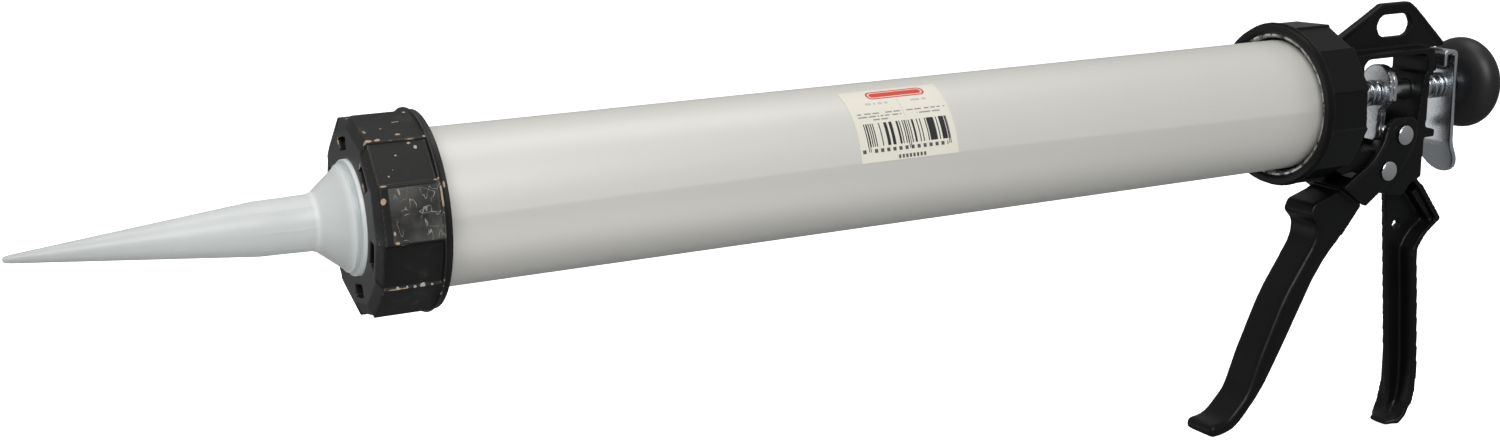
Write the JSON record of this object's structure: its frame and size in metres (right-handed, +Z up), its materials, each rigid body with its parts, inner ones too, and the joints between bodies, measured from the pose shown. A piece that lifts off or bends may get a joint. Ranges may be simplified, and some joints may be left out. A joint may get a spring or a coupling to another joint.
{
  "type": "caulking gun",
  "caption": "Closed-barrel caulking gun for foil bags: screwed cap with a tapered nozzle, cast handle, squeeze trigger, friction drive plates and a push rod with a knob.",
  "frame": {"origin": "middle of the whole gun's bounding box at rest, rod pushed in", "axes": "+X along the barrel towards the pull knob, +Z up to the hanging eye, +Y completes the right-handed frame"},
  "size_m": [0.621, 0.069, 0.1924],
  "materials": {
    "tube_silver": "satin anodised",
    "cast_black": "satin black coat",
    "cast_black_worn": "satin black coat, chipped at its edges",
    "zinc_plate": "bright zinc",
    "spring_steel": "bright zinc",
    "rod_steel": "bright zinc, polished by sliding",
    "rivet_steel": "polished",
    "nozzle_plastic": "milky, smooth",
    "label_paper": "printed sticker",
    "piston_plastic": "satin",
    "seal_rubber": "matte",
    "knob_plastic": "satin black"
  },
  "bodies": {
    "gun_body": {"barrel_tube": "tube_silver", "rear_collar": "cast_black", "collar_retainer": "zinc_plate", "retainer_screw_1": "zinc_plate", "retainer_screw_2": "zinc_plate", "retainer_screw_3": "zinc_plate", "handle_frame": "cast_black", "trigger_pivot_rivet": "rivet_steel", "label": "label_paper", "drive_spring": "spring_steel", "release_spring": "spring_steel"},
    "trigger": {"trigger_lever": "cast_black", "pusher_rivet": "rivet_steel"},
    "drive_plates": {"drive_plate_front": "zinc_plate", "drive_plate_rear": "zinc_plate"},
    "release": {"release_plate": "zinc_plate"},
    "rod": {"push_rod": "rod_steel", "piston_washer_front": "zinc_plate", "piston_disc": "piston_plastic", "piston_seal": "seal_rubber", "piston_washer_rear": "zinc_plate", "piston_nut": "zinc_plate", "rod_knob": "knob_plastic"},
    "nozzle": {"nozzle": "nozzle_plastic"},
    "front_cap": {"front_cap": "cast_black_worn"}
  },
  "joints": [
    {"name": "trigger_squeeze", "type": "hinge", "parent": "gun_body", "child": "trigger", "pos_m": [0.24547, 0, 0.02565], "axis": [0, -1, 0], "range_deg": [0, 26], "stiffness_Nm_per_rad": 0.6, "springref_deg": -20.05},
    {"name": "drive_slide", "type": "slide", "parent": "gun_body", "child": "drive_plates", "axis": [-1, 0, 0], "range_m": [0, 0.0078], "deforming": ["drive_spring"]},
    {"name": "release_tilt", "type": "hinge", "parent": "gun_body", "child": "release", "pos_m": [0.28177, 0, 0.07235], "axis": [0, 1, 0], "range_deg": [0, 6], "stiffness_Nm_per_rad": 0.29, "springref_deg": -17.19, "deforming": ["release_spring"]},
    {"name": "rod_slide", "type": "slide", "parent": "gun_body", "child": "rod", "axis": [1, 0, 0], "range_m": [0, 0.38]},
    {"name": "nozzle_off", "type": "slide", "parent": "gun_body", "child": "nozzle", "axis": [-1, 0, 0], "range_m": [0, 0.0121]},
    {"name": "cap_unscrew", "type": "hinge", "parent": "nozzle", "child": "front_cap", "pos_m": [-0.19143, 0, 0.05785], "axis": [-1, 0, 0], "range_deg": [0, 1440]}
  ],
  "couplings": [
    {"joint": "drive_slide", "follows": "trigger_squeeze", "m_per_rad": 0.0171},
    {"joint": "nozzle_off", "follows": "cap_unscrew", "m_per_rad": 0.00047746}
  ]
}
